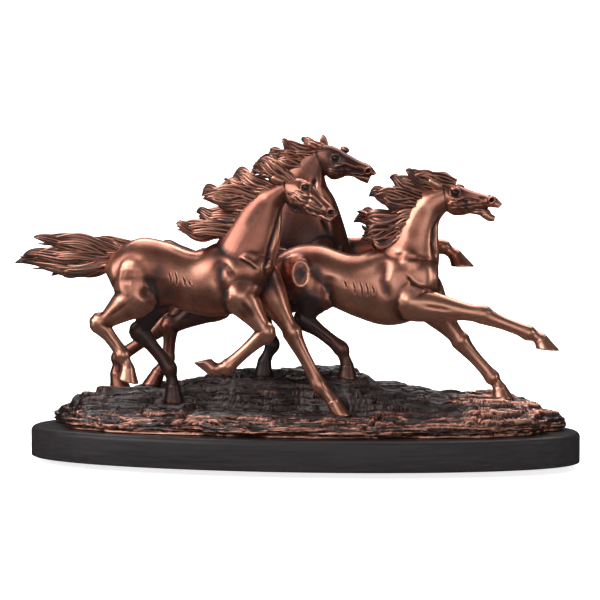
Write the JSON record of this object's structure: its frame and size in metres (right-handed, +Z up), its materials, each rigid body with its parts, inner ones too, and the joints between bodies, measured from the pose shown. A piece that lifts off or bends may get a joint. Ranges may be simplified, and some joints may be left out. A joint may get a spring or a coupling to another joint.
{
  "type": "galloping horse group sculpture",
  "caption": "Galloping horses in a copper finish, cast with a layered rock base and set on a black oval plinth, manes and tails streaming behind them",
  "frame": {"origin": "middle of the plinth's underside", "axes": "+Z up, +X the way the horses run, +Y from the near horse to the far one"},
  "size_m": [0.404, 0.15, 0.2346],
  "materials": {
    "copper_casting": "polished cold-cast copper, dark brown patina in the hollows",
    "black_lacquer": "satin black lacquered board"
  },
  "bodies": {
    "root": {"horse_group": "copper_casting", "plinth": "black_lacquer"}
  },
  "joints": []
}
